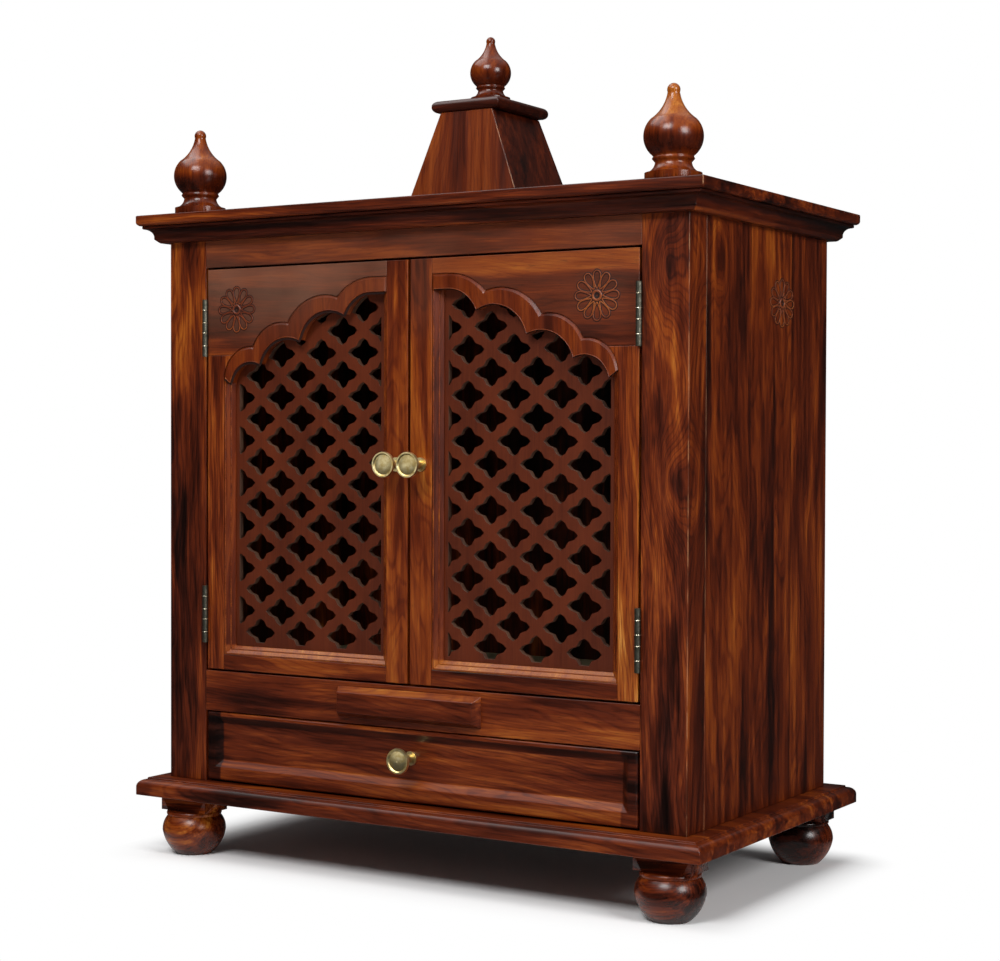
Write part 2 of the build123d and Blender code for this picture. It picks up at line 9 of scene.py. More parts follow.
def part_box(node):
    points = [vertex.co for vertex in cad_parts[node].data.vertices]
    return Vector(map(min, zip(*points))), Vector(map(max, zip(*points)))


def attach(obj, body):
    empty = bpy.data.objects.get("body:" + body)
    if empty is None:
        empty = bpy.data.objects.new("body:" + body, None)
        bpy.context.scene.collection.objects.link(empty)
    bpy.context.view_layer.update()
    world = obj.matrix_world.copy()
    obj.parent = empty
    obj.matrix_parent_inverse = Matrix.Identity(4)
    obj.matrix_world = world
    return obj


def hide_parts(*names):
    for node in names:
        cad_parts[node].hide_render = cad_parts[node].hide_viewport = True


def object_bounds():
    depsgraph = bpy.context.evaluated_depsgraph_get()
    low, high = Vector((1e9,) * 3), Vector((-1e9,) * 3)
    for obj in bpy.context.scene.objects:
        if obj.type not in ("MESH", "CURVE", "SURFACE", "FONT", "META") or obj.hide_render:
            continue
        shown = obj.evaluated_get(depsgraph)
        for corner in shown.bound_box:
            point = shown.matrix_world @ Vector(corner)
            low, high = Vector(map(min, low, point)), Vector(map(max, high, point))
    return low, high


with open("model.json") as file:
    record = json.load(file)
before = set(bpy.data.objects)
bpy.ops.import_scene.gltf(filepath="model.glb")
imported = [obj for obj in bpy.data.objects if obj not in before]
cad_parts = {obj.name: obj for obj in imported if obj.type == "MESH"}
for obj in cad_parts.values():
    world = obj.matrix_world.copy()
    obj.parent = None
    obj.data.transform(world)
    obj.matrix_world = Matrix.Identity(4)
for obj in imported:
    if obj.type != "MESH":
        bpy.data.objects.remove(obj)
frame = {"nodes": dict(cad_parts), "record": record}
cad_low, cad_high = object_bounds()
BODY_OF = {
    node: body
    for body, nodes in frame["record"]["behaviour"]["bodies"].items()
    for node in nodes
}
SLOT_OF = {row["node"]: row["material_slot"] for row in frame["record"]["subparts"]}
MM = 0.001
X, Z = 0, 2

# Camera: the photograph's viewing angle, solved from the corners of the carcass

IMAGE_WIDTH = 1000
SENSOR_WIDTH = 36
FOCAL_PIXELS = 2010.87
CAMERA_PLACE = (1.09279, -1.76323, 0.43268)
YAW = math.radians(31.6337)
PITCH = math.radians(1.1768)
ROLL = math.radians(0.1781)
camera_data = bpy.data.cameras.new("camera")
camera_data.sensor_width = SENSOR_WIDTH
camera_data.lens = FOCAL_PIXELS * SENSOR_WIDTH / IMAGE_WIDTH
camera = bpy.data.objects.new("camera", camera_data)
bpy.context.scene.collection.objects.link(camera)
camera.location = CAMERA_PLACE
level_right = Vector((math.cos(YAW), math.sin(YAW), 0))
forward = Vector((-math.sin(YAW), math.cos(YAW), 0)) * math.cos(PITCH)
forward.z = -math.sin(PITCH)
level_up = level_right.cross(forward)
right = level_right * math.cos(ROLL) + level_up * math.sin(ROLL)
up = right.cross(forward)
turn = camera.matrix_world.to_3x3()
turn.col[0], turn.col[1], turn.col[2] = right, up, -forward
camera.rotation_euler = turn.to_euler()
bpy.context.scene.camera = camera
bpy.context.scene.view_settings.view_transform = "Standard"


def srgb(code):
    """A hex colour such as #6b2c12 as linear red, green, blue and alpha."""
    parts = [int(code[i : i + 2], 16) / 255 for i in (1, 3, 5)]
    linear = [p / 12.92 if p <= 0.04045 else ((p + 0.055) / 1.055) ** 2.4 for p in parts]
    return (*linear, 1.0)


def put(tree, kind, *inputs, out=0, **settings):
    """Adds a node and gives one of its outputs. Inputs go in order, or by name or number
    in a dict, and each is another node's output to link or a constant."""
    made = tree.nodes.new(kind)
    for name, value in settings.items():
        setattr(made, name, value)
    given = {}
    for number, value in enumerate(inputs):
        given.update(value if isinstance(value, dict) else {number: value})
    for name, value in given.items():
        if isinstance(value, bpy.types.NodeSocket):
            tree.links.new(value, made.inputs[name])
        else:
            made.inputs[name].default_value = value
    return made.outputs[out] if len(made.outputs) else None


def new_material(name):
    """A material with an empty tree."""
    material = bpy.data.materials.new(name)
    material.use_nodes = True
    material.node_tree.nodes.clear()
    return material, material.node_tree


MATH = "ShaderNodeMath"
VECTOR_MATH = "ShaderNodeVectorMath"
COMBINE = "ShaderNodeCombineXYZ"
SEPARATE = "ShaderNodeSeparateXYZ"
RANGE = "ShaderNodeMapRange"
MAPPING = "ShaderNodeMapping"
NOISE = "ShaderNodeTexNoise"
MIX = "ShaderNodeMix"
PRINCIPLED = "ShaderNodeBsdfPrincipled"
OUTPUT = "ShaderNodeOutputMaterial"


# Sheesham, planed, stained red-brown and rubbed with satin lacquer: broad patches of
# orange and near-black that follow the growth rings, fine streaks, and honey sapwood

WOOD_TONES = (
    (0.00, "#0c0201"),
    (0.20, "#200702"),
    (0.38, "#3a1003"),
    (0.55, "#5a1f05"),
    (0.70, "#7a3509"),
    (0.84, "#965114"),
    (1.00, "#bf8038"),
)
# Tone of a board with no lift, and how far each pattern moves it
MIDDLE_TONE = 0.44
FIGURE_SWING, PATCH_SWING, STREAK_SWING, FINE_SWING = 1.25, 0.75, 0.62, 0.30
HEART_SHADE, LATE_WOOD_SHADE, KNOT_SHADE = -0.26, -0.10, 0.28
# The board's own directions, as (along the grain, across the face, into the board)
GRAIN = {"x": (0, 2, 1), "z": (2, 0, 1), "side": (2, 1, 0), "flat": (0, 1, 2), "y": (1, 2, 0)}
RING = 3.2 * MM
# Where a board lies in its log: step along and across it for each shift, within the log's
# width, and how far it lies from the heart
LOG_STEP, CROSS_STEP, LOG_WIDTH, HEART_DISTANCE = 0.37, 0.017, 0.05, 0.045
# How many rings the log's slow wander and a knot's middle push the growth rings by
RING_WANDER = 22.0
KNOT_PUSH = 9.0
# What is left of a knot's push and of its dark core at its radius
KNOT_FALL, KNOT_CORE = math.exp(-0.35), math.exp(-2.5)
# Where late wood, heartwood and pores begin and are full in their patterns
LATE_WOOD_EDGE, HEART_EDGE, PORE_EDGE = (0.35, 1.0), (0.53, 0.64), (0.62, 0.74)
# Step in the log from one glued board to the next
NEXT_BOARD = (0.61, 0.035, 0.013)
# Patterns drawn out along the grain: share of length kept, size across in mm, detail, crumble.
# Real pores are about 0.3 mm wide; they and the fine lines are drawn wider, so that they show.
GRAIN_PATTERNS = {
    "wander": (0.20, 71.4, 3.0, 0.5),
    "patches": (0.20, 41.7, 3.0, 0.5),
    "streaks": (0.035, 5.88, 2.0, 0.5),
    "fine": (0.02, 1.316, 1.0, 0.5),
    "heart": (0.10, 33.3, 4.0, 0.6),
    "pores": (0.06, 0.909, 1.0, 0.5),
}

# What lies over the tones: stain in the pores, a painted sheen that stands for reflection, glue
# lines, and arrises painted pale as wear and painted highlight
PORE_STAIN, PORE_SHARE = "#170602", 0.45
PAINTED_SHEEN_TINT, PAINTED_SHEEN_PATCH = "#7a5644", 83.3 * MM
# The painted sheen lies on the boards only from this height up
PAINTED_SHEEN_RISE = (505 * MM, 575 * MM)
GLUE, GLUE_LINE, GLUE_SHARE = "#1c0803", (0.35 * MM, 0.7 * MM), 0.7
# Arrises are painted pale, as wear and as painted highlight
PALE_WEAR_AND_HIGHLIGHT, WEAR_AND_HIGHLIGHT_LINE, WEAR_AND_HIGHLIGHT_SPOT = "#b58258", (0.5 * MM, 1.1 * MM), 22.2 * MM
LACQUER_IOR = 1.42
LACQUER_ROUGH, LACQUER_ROUGHEST = 0.30, 0.37
GRAIN_RELIEF = {"Strength": 0.18, "Distance": 0.2 * MM}


def sheesham(
    name, grain, shift, lift=0.0, vivid=1.0, painted_sheen=0.0, polish=0.0, tilt=3.0,
    knots=(), joints=(), bands=(), arrises=(),
):
    """Lacquered wood. Shift picks the part of the log, lift makes it lighter, vivid
    spreads its tones, haze is how much painted sheen, a painted reflection, lies on it,
    and polish makes it smoother. A knot is (along, across, radius), a joint is where one
    glued board ends across the face, a band is (axis, from, to, change of tone), and an
    arris is an edge painted pale, as wear and painted highlight, given as two points and how pale
    it is."""
    material, tree = new_material(name)
    place = put(tree, "ShaderNodeTexCoord", out="Object")
    split = put(tree, SEPARATE, place).node.outputs
    along, across, depth = (split[axis] for axis in GRAIN[grain])
    on_board = put(tree, COMBINE, along, across, depth)
    log = on_board
    if joints:
        board_number = 0.0
        for joint in joints:
            passed = put(tree, MATH, across, joint, operation="GREATER_THAN")
            board_number = put(tree, MATH, passed, board_number, operation="ADD")
        jump = put(tree, VECTOR_MATH, NEXT_BOARD, {"Scale": board_number}, operation="SCALE")
        log = put(tree, VECTOR_MATH, on_board, jump, operation="ADD")
    slant = (0, math.radians(tilt), math.radians(tilt / 3))
    in_log = (LOG_STEP * shift, CROSS_STEP * shift % LOG_WIDTH, HEART_DISTANCE)
    log = put(tree, MAPPING, log, in_log, slant)
    grains = {}
    for label, (kept_length, size, detail, crumble) in GRAIN_PATTERNS.items():
        drawn = put(tree, MAPPING, log, {"Scale": (kept_length, 1, 1)})
        look = {"Vector": drawn, "Scale": 1 / (size * MM), "Detail": detail, "Roughness": crumble}
        grains[label] = put(tree, NOISE, look)
    patches, streaks, fine = grains["patches"], grains["streaks"], grains["fine"]

    # Growth rings, which wander slowly and run round each knot
    crosswise = put(tree, MAPPING, log, {"Scale": (0, 1, 1)})
    from_heart = put(tree, VECTOR_MATH, crosswise, operation="LENGTH", out="Value")
    rings = put(tree, MATH, from_heart, 1 / RING, operation="MULTIPLY")
    rings = put(tree, MATH, grains["wander"], RING_WANDER, rings, operation="MULTIPLY_ADD")
    knot_dark = 0.0
    for knot_along, knot_across, radius in knots:
        middle = (-0.5 * knot_along / radius, -knot_across / radius, 0)
        near = {"Location": middle, "Scale": (0.5 / radius, 1 / radius, 0)}
        near = put(tree, MAPPING, on_board, near)
        square = put(tree, VECTOR_MATH, near, near, operation="DOT_PRODUCT", out="Value")
        fall = put(tree, MATH, KNOT_FALL, square, operation="POWER")
        core = put(tree, MATH, KNOT_CORE, square, operation="POWER")
        rings = put(tree, MATH, fall, KNOT_PUSH, rings, operation="MULTIPLY_ADD")
        knot_dark = put(tree, MATH, core, KNOT_SHADE, knot_dark, operation="MULTIPLY_ADD")
    turns = put(tree, MATH, rings, 2 * math.pi, operation="MULTIPLY")
    ring_wave = put(tree, MATH, turns, operation="SINE")

    # Broad colour follows the rings; streaks and pores follow the grain alone
    figure_place = put(tree, COMBINE, rings, along, 3.1 * shift)
    figure_place = put(tree, MAPPING, figure_place, {"Scale": (0.16, 2.4, 1)})
    look = {"Vector": figure_place, "Scale": 1.0, "Detail": 4.0, "Roughness": 0.6}
    figure = put(tree, NOISE, look)
    late_wood = put(tree, RANGE, ring_wave, *LATE_WOOD_EDGE)
    heart = put(tree, RANGE, grains["heart"], *HEART_EDGE, interpolation_type="SMOOTHSTEP")
    pores = put(tree, RANGE, grains["pores"], *PORE_EDGE)

    # Each part swings about its own middle of 0.5, so that the sum stays near the lift
    swings = [
        (figure, FIGURE_SWING), (patches, PATCH_SWING), (streaks, STREAK_SWING), (fine, FINE_SWING),
    ]
    tone = MIDDLE_TONE + lift - 0.5 * vivid * sum(weight for part, weight in swings)
    for part, weight in swings + [(heart, HEART_SHADE), (late_wood, LATE_WOOD_SHADE)]:
        tone = put(tree, MATH, part, weight * vivid, tone, operation="MULTIPLY_ADD")
    tone = put(tree, MATH, tone, knot_dark, operation="SUBTRACT")
    for axis, start, end, change in bands:
        ragged = abs(end - start) * 1.5
        edge = put(tree, MATH, patches, ragged, split[axis], operation="MULTIPLY_ADD")
        limits = (start + 0.5 * ragged, end + 0.5 * ragged)
        share = put(tree, RANGE, edge, *limits, interpolation_type="SMOOTHSTEP")
        tone = put(tree, MATH, share, change, tone, operation="MULTIPLY_ADD")
    colour = put(tree, "ShaderNodeValToRGB", tone)
    stops = colour.node.color_ramp.elements
    for place_at, code in WOOD_TONES[1:-1]:
        stops.new(place_at).color = srgb(code)
    stops[0].color = srgb(WOOD_TONES[0][1])
    stops[-1].color = srgb(WOOD_TONES[-1][1])

    layers = [(put(tree, MATH, pores, PORE_SHARE, operation="MULTIPLY"), PORE_STAIN)]
    # Painted sheen: a pale patchy tint that stands for reflection in the lacquer
    if painted_sheen:
        cloud = put(tree, NOISE, {"Vector": place, "Scale": 1 / PAINTED_SHEEN_PATCH, "Detail": 3.0})
        cloud = put(tree, RANGE, cloud, 0.35, 0.65, 0.5 * painted_sheen, painted_sheen)
        risen = put(tree, RANGE, split[Z], *PAINTED_SHEEN_RISE, interpolation_type="SMOOTHSTEP")
        layers.append((put(tree, MATH, cloud, risen, operation="MULTIPLY"), PAINTED_SHEEN_TINT))
    for joint in joints:
        off = put(tree, MATH, across, joint, operation="SUBTRACT")
        off = put(tree, MATH, off, operation="ABSOLUTE")
        layers.append((put(tree, RANGE, off, *GLUE_LINE, GLUE_SHARE, 0.0), GLUE))
    # Each arris is painted pale as wear and painted highlight, broken up in patches
    for first, second, strength in arrises:
        way = (Vector(second) - Vector(first)).normalized()
        arm = put(tree, VECTOR_MATH, place, first, operation="SUBTRACT")
        swept = put(tree, VECTOR_MATH, arm, way, operation="CROSS_PRODUCT")
        off = put(tree, VECTOR_MATH, swept, operation="LENGTH", out="Value")
        rubbed = put(tree, NOISE, {"Vector": place, "Scale": 1 / WEAR_AND_HIGHLIGHT_SPOT, "Detail": 4.0})
        rubbed = put(tree, RANGE, rubbed, 0.45, 0.60, 0.1, 1.0)
        line = put(tree, RANGE, off, *WEAR_AND_HIGHLIGHT_LINE, strength, 0.0)
        layers.append((put(tree, MATH, line, rubbed, operation="MULTIPLY"), PALE_WEAR_AND_HIGHLIGHT))
    for share, code in layers:
        laid = {0: share, 6: colour, 7: srgb(code)}
        colour = put(tree, MIX, laid, out=2, data_type="RGBA")
    limits = (LACQUER_ROUGH - polish, LACQUER_ROUGHEST - polish)
    rough = put(tree, RANGE, streaks, 0.3, 0.7, *limits)
    height = put(tree, MATH, fine, 0.5, operation="MULTIPLY")
    height = put(tree, MATH, height, pores, operation="SUBTRACT")
    skin = {"Base Color": colour, "Roughness": rough, "IOR": LACQUER_IOR}
    skin["Normal"] = put(tree, "ShaderNodeBump", {"Height": height, **GRAIN_RELIEF})
    put(tree, OUTPUT, {"Surface": put(tree, PRINCIPLED, skin)})
    return material


# Sizes across of a stained board's clouds and hair grain, and the share of height kept.
# The hair grain is really finer and is drawn coarser, so that it shows.
STAIN_PATTERNS = ((0.4, 33.3 * MM), (0.04, 1.43 * MM))
STAIN_RELIEF = {"Strength": 0.2, "Distance": 0.2 * MM}
HAIR_SHARE = 0.35


def stained_board(name, tones, rough):
    """A thin board soaked in spirit stain: one even colour with a faint grain."""
    material, tree = new_material(name)
    place = put(tree, "ShaderNodeTexCoord", out="Object")
    patterns = []
    for kept_height, size in STAIN_PATTERNS:
        drawn = put(tree, MAPPING, place, {"Scale": (1, 1, kept_height)})
        pattern = put(tree, NOISE, {"Vector": drawn, "Scale": 1 / size})
        patterns.append(put(tree, RANGE, pattern, 0.3, 0.7))
    cloud, hair = patterns
    hair_share = put(tree, MATH, hair, HAIR_SHARE, operation="MULTIPLY")
    colour = srgb(tones[0])
    for share, code in ((cloud, tones[1]), (hair_share, tones[2])):
        laid = {0: share, 6: colour, 7: srgb(code)}
        colour = put(tree, MIX, laid, out=2, data_type="RGBA")
    skin = {"Base Color": colour, "Roughness": rough, "IOR": LACQUER_IOR}
    skin["Normal"] = put(tree, "ShaderNodeBump", {"Height": hair, **STAIN_RELIEF})
    put(tree, OUTPUT, {"Surface": put(tree, PRINCIPLED, skin)})
    return material


# Dull patches on the brass, and hair scratches drawn wider than they are, so that they show
BRASS_PATCH = 4.17 * MM
BRASS_SCRATCH = 0.385 * MM
BRASS_RELIEF = {"Strength": 0.1, "Distance": 0.1 * MM}
# How much rougher the dull patches are than the rubbed ones
DULLING = 0.14


def turned_brass(name, bright, dull, rough):
    """Brass: pale and warm where it is rubbed, with finer dull patches and hair scratches."""
    material, tree = new_material(name)
    place = put(tree, "ShaderNodeTexCoord", out="Object")
    patches = put(tree, NOISE, {"Vector": place, "Scale": 1 / BRASS_PATCH, "Detail": 3.0})
    patches = put(tree, RANGE, patches, 0.35, 0.70)
    drawn = put(tree, MAPPING, place, {"Scale": (1, 1, 0.2)})
    scratches = put(tree, NOISE, {"Vector": drawn, "Scale": 1 / BRASS_SCRATCH})
    mixed = {0: patches, 6: srgb(bright), 7: srgb(dull)}
    skin = {
        "Base Color": put(tree, MIX, mixed, out=2, data_type="RGBA"),
        "Metallic": 1.0,
        "Roughness": put(tree, RANGE, patches, 0.0, 1.0, rough, rough + DULLING),
        "Normal": put(tree, "ShaderNodeBump", {"Height": scratches, **BRASS_RELIEF}),
    }
    put(tree, OUTPUT, {"Surface": put(tree, PRINCIPLED, skin)})
    return material


KNOB_BRASS = turned_brass("lathe_turned_brass", "#f0dfaa", "#cdb270", 0.30)
HINGE_BRASS = turned_brass("pressed_brass_gone_dull", "#77766a", "#4c4b40", 0.42)
RIM_BRASS = turned_brass("rubbed_brass_rims", "#e6dfc8", "#b0a888", 0.28)
LATTICE_FACE = stained_board("stained_lattice_face", ("#551f09", "#401405", "#662c10"), 0.40)
SAWN_EDGE = stained_board("sawn_edge_left_pale", ("#4c2e1e", "#2c140b", "#6e503a"), 0.75)
# Painted shade: a dark finish laid in the grooves beside the rosettes' ridges and along the arches
GROOVE_SHADE = stained_board("painted_shade_in_grooves", ("#260902", "#180501", "#300e04"), 0.6)
BARE_FLOOR = stained_board("bare_floor_board", ("#8c8264", "#766c50", "#9c9274"), 0.70)

# Edges of the boards that marks are placed by

SIDE_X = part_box("right_side_panel")[1].x
FRONT_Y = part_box("right_front_stile")[0].y
CARCASS_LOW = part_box("right_front_stile")[0].z
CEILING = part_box("top_board")[0].z
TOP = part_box("top_board")[1].z
# Middles of the finials' balls
BALL_Z = TOP + 42 * MM
TOWER_BALL_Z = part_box("tower_cap")[1].z + 32.6 * MM
# Painted shade on the lower half of each finial's ball, and painted light on its top
BALL_PAINTED_SHADE_AND_LIGHT = (
    (Z, BALL_Z - 18 * MM, BALL_Z - 13 * MM, -0.20),
    (Z, BALL_Z - 5 * MM, BALL_Z + 7 * MM, 0.27),
    (Z, BALL_Z + 8 * MM, BALL_Z + 22 * MM, 0.12),
)
# Painted light on the top of the tower finial's ball
TOWER_BALL_PAINTED_LIGHT = ((Z, TOWER_BALL_Z - 12 * MM, TOWER_BALL_Z + 4 * MM, 0.16),)
SIDE_JOINTS = (FRONT_Y + 130 * MM, FRONT_Y + 226 * MM)
BACK_JOINTS = (-100 * MM, 90 * MM)
# Edges painted pale as wear and painted highlight: the carcass's front corner, the side panel's
# front edge, the top board's corner and the tower's front edge
FRONT_CORNER = ((SIDE_X, FRONT_Y, CARCASS_LOW), (SIDE_X, FRONT_Y, CEILING), 0.35)
PANEL_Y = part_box("right_side_panel")[0].y
PANEL_EDGE = ((SIDE_X, PANEL_Y, CARCASS_LOW), (SIDE_X, PANEL_Y, CEILING), 0.30)
BOARD_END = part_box("top_board")[1].x
BOARD_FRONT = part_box("top_board")[0].y
TOP_CORNER = ((BOARD_END, BOARD_FRONT, CEILING), (BOARD_END, BOARD_FRONT, TOP), 0.6)
TOWER_FOOT = (68.5 * MM, -65 * MM, TOP)
TOWER_HEAD = (30.5 * MM, -56.5 * MM, TOP + 99.6 * MM)
TOWER_EDGE = (TOWER_FOOT, TOWER_HEAD, 0.8)

# Paler or darker bands across single boards
# Painted light on the up-facing slope of each door's sill moulding
SILL_PAINTED_LIGHT = ((Z, 222.5 * MM, 219.5 * MM, 0.24),)
CORNICE_LIP = ((Z, 639.5 * MM, 637.5 * MM, 0.16),)
# Painted light on the rail block's top bevel, which faces up
BLOCK_TOP_PAINTED_LIGHT = ((Z, 183 * MM, 184.5 * MM, 0.16),)
LOW_ORANGE = ((Z, 535 * MM, 520 * MM, 0.10),)
HIGH_ORANGE = ((Z, 580 * MM, 590 * MM, 0.28),)
# Painted light: the upper parts of the left front stile and the right side panel are paler, as the
# light falls off towards the bottom
STILE_PAINTED_LIGHT_ABOVE = ((Z, 460 * MM, 580 * MM, 0.12),)
SIDE_PAINTED_LIGHT_ABOVE = ((Z, 340 * MM, 560 * MM, 0.05),)

# The drawer front's sunk field: painted shade under its top edge, where the slope faces down, and
# at its ends; a painted highlight along its top rim, and painted light on the up-facing slope below
DRAWER_PAINTED_SHADE_AND_LIGHT = (
    (Z, 138.5 * MM, 140.5 * MM, -0.24),
    (Z, 145.5 * MM, 147.5 * MM, 0.34),
    (Z, 103.5 * MM, 101.5 * MM, 0.14),
    (X, 232 * MM, 234.5 * MM, -0.20),
    (X, -232 * MM, -234.5 * MM, -0.34),
)
# Knots, as (height, place across, radius)
STILE_KNOTS = ((586 * MM, 281 * MM, 11 * MM), (395 * MM, 287 * MM, 13 * MM))
SIDE_KNOTS = ((600 * MM, -95 * MM, 12 * MM),)

# For each board: its grain, the part of the log that it is cut from, its lift and its marks
BOARDS = {
    "plinth_board": ("x", 1.0, 0.06, {"vivid": 0.8}),
    "foot_front_left": ("flat", 2.0, 0.06, {"polish": 0.06}),
    "foot_front_right": ("flat", 3.2, 0.10, {"polish": 0.06}),
    "foot_rear_left": ("flat", 4.1, 0.06, {"polish": 0.06}),
    "foot_rear_right": ("flat", 5.3, 0.02, {"polish": 0.06}),
    "left_front_stile": ("z", 6.0, 0.10, {"bands": STILE_PAINTED_LIGHT_ABOVE}),
    "right_front_stile": (
        "z", 7.4, 0.06, {"knots": STILE_KNOTS, "arrises": (FRONT_CORNER,), "tilt": 5.0},
    ),
    "left_side_panel": ("side", 51.0, 0.04, {"joints": SIDE_JOINTS}),
    "right_side_panel": (
        "side", 50.0, 0.06,
        {
            "joints": SIDE_JOINTS,
            "knots": SIDE_KNOTS,
            "arrises": (PANEL_EDGE,),
            "bands": SIDE_PAINTED_LIGHT_ABOVE,
            "vivid": 0.85,
        },
    ),
    "back_panel": ("z", 9.0, -0.04, {"joints": BACK_JOINTS}),
    "top_rail": ("x", 11.0, 0.17, {"vivid": 0.55, "painted_sheen": 0.20}),
    "middle_rail": ("x", 12.0, 0.18, {"vivid": 0.7}),
    "rail_block": ("x", 13.0, 0.13, {"vivid": 0.7, "bands": BLOCK_TOP_PAINTED_LIGHT}),
    "left_drawer_runner": ("y", 15.0, 0.0, {}),
    "right_drawer_runner": ("y", 16.0, 0.0, {}),
    "top_board": ("x", 17.0, 0.02, {"vivid": 0.8, "arrises": (TOP_CORNER,)}),
    "cornice_front": ("x", 18.0, -0.08, {"vivid": 0.8, "bands": CORNICE_LIP}),
    "cornice_right": ("y", 19.0, -0.14, {"vivid": 0.6, "bands": CORNICE_LIP}),
    "cornice_back": ("x", 20.0, -0.12, {}),
    "cornice_left": ("y", 21.0, -0.12, {}),
    "left_finial": ("z", 22.0, 0.13, {"vivid": 0.5, "polish": 0.10, "bands": BALL_PAINTED_SHADE_AND_LIGHT}),
    "right_finial": ("z", 23.0, 0.13, {"vivid": 0.5, "polish": 0.10, "bands": BALL_PAINTED_SHADE_AND_LIGHT}),
    "tower_finial": ("z", 24.0, 0.10, {"vivid": 0.5, "polish": 0.10, "bands": TOWER_BALL_PAINTED_LIGHT}),
    "tower_front": ("z", 41.0, 0.14, {"vivid": 0.45, "arrises": (TOWER_EDGE,)}),
    "tower_back": ("z", 42.0, 0.0, {}),
    "tower_left": ("side", 43.0, 0.0, {}),
    "tower_right": ("side", 44.0, -0.06, {"vivid": 0.6}),
    "tower_cap": ("x", 40.0, -0.14, {"vivid": 0.6}),
    "left_door_meeting_stile": ("z", 27.0, 0.26, {"vivid": 0.7}),
    "left_door_arched_rail": ("x", 28.0, 0.04, {"vivid": 0.6, "painted_sheen": 0.55, "bands": LOW_ORANGE}),
    "left_door_hinge_stile": ("z", 29.0, 0.16, {}),
    "left_door_bottom_rail": ("x", 30.0, 0.12, {"vivid": 0.7}),
    "left_door_moulding": ("z", 45.0, 0.13, {"vivid": 0.4, "painted_sheen": 0.20, "bands": SILL_PAINTED_LIGHT}),
    "right_door_meeting_stile": ("z", 31.0, 0.22, {"vivid": 0.7, "painted_sheen": 0.10}),
    "right_door_arched_rail": ("x", 32.0, 0.02, {"vivid": 0.5, "painted_sheen": 0.15, "bands": HIGH_ORANGE}),
    "right_door_hinge_stile": ("z", 33.0, 0.36, {}),
    "right_door_bottom_rail": ("x", 34.0, 0.12, {"vivid": 0.7}),
    "right_door_moulding": ("z", 46.0, 0.12, {"vivid": 0.4, "bands": SILL_PAINTED_LIGHT}),
    "drawer_front": ("x", 35.0, 0.10, {"vivid": 0.8, "bands": DRAWER_PAINTED_SHADE_AND_LIGHT}),
    "drawer_left_side": ("y", 36.0, 0.12, {}),
    "drawer_right_side": ("y", 37.0, 0.12, {}),
    "drawer_back": ("x", 38.0, 0.12, {}),
    "drawer_bottom": ("flat", 39.0, 0.12, {}),
}
TURNED = ("finial", "foot")

# How far a light sanding rounds the arrises
EASED, EASED_MOULDING, EASED_LATTICE = 0.8 * MM, 0.5 * MM, 0.35 * MM
CRISP_ANGLE = 28
# Corners closer than this are one corner
WELD = 0.002 * MM


def finish_piece(piece, node, *nodes):
    """A new piece that stands for a node rides on its body, and the node is hidden."""
    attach(piece, BODY_OF[node])
    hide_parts(node, *nodes)
    return piece


def mesh_object(name, mesh, *materials):
    """An object at the origin that shows a mesh in its materials."""
    mesh.materials.clear()
    for material in materials:
        mesh.materials.append(material)
    piece = bpy.data.objects.new(name, mesh)
    bpy.context.scene.collection.objects.link(piece)
    return piece


def smooth_by_angle(mesh, degrees):
    """Shades a mesh smooth and keeps its corners crisp."""
    mesh.shade_smooth()
    mesh.set_sharp_from_angle(angle=math.radians(degrees))


def ease(piece, width):
    """Rounds the arrises as a light sanding does."""
    bevel = piece.modifiers.new("eased_edges", "BEVEL")
    bevel.width = width
    bevel.segments = 2
    bevel.limit_method = "ANGLE"
    bevel.angle_limit = math.radians(32)
    bevel.use_clamp_overlap = True
    bevel.harden_normals = True


def merged_copy(node, flat):
    """A node's mesh with its loose triangles joined, and flat faces made whole."""
    mesh = frame["nodes"][node].data.copy()
    shape = bmesh.new()
    shape.from_mesh(mesh)
    bmesh.ops.remove_doubles(shape, verts=shape.verts, dist=WELD)
    if flat:
        bmesh.ops.dissolve_limit(
            shape, angle_limit=math.radians(0.3), verts=shape.verts, edges=shape.edges
        )
    shape.to_mesh(mesh)
    shape.free()
    return mesh


for node, (grain, shift, lift, marks) in BOARDS.items():
    turned = any(word in node for word in TURNED)
    mesh = merged_copy(node, not turned)
    board = mesh_object(
        f"eased_{node}", mesh, sheesham(f"lacquered_sheesham_{node}", grain, shift, lift, **marks)
    )
    smooth_by_angle(mesh, CRISP_ANGLE)
    if not turned:
        ease(board, EASED_MOULDING if "moulding" in node else EASED)
    finish_piece(board, node)

# The lattice is one stained board whose sawn edges stay pale

for hand in ("left", "right"):
    node = f"{hand}_door_lattice"
    mesh = merged_copy(node, True)
    lattice = mesh_object(f"pierced_{node}", mesh, LATTICE_FACE, SAWN_EDGE)
    for face in mesh.polygons:
        face.material_index = 0 if abs(face.normal.y) > 0.5 else 1
    smooth_by_angle(mesh, CRISP_ANGLE)
    ease(lattice, EASED_LATTICE)
    finish_piece(lattice, node)

for node, kept in frame["nodes"].items():
    if kept.hide_render:
        continue
    kept.data.materials.clear()
    if node == "shrine_floor":
        kept.data.materials.append(BARE_FLOOR)
    elif SLOT_OF[node] == "brass":
        kept.data.materials.append(KNOB_BRASS)
    else:
        kept.data.materials.append(HINGE_BRASS)


# Pieces that repeat: rosette petals, hinge rims, hinge screws and moulding beads


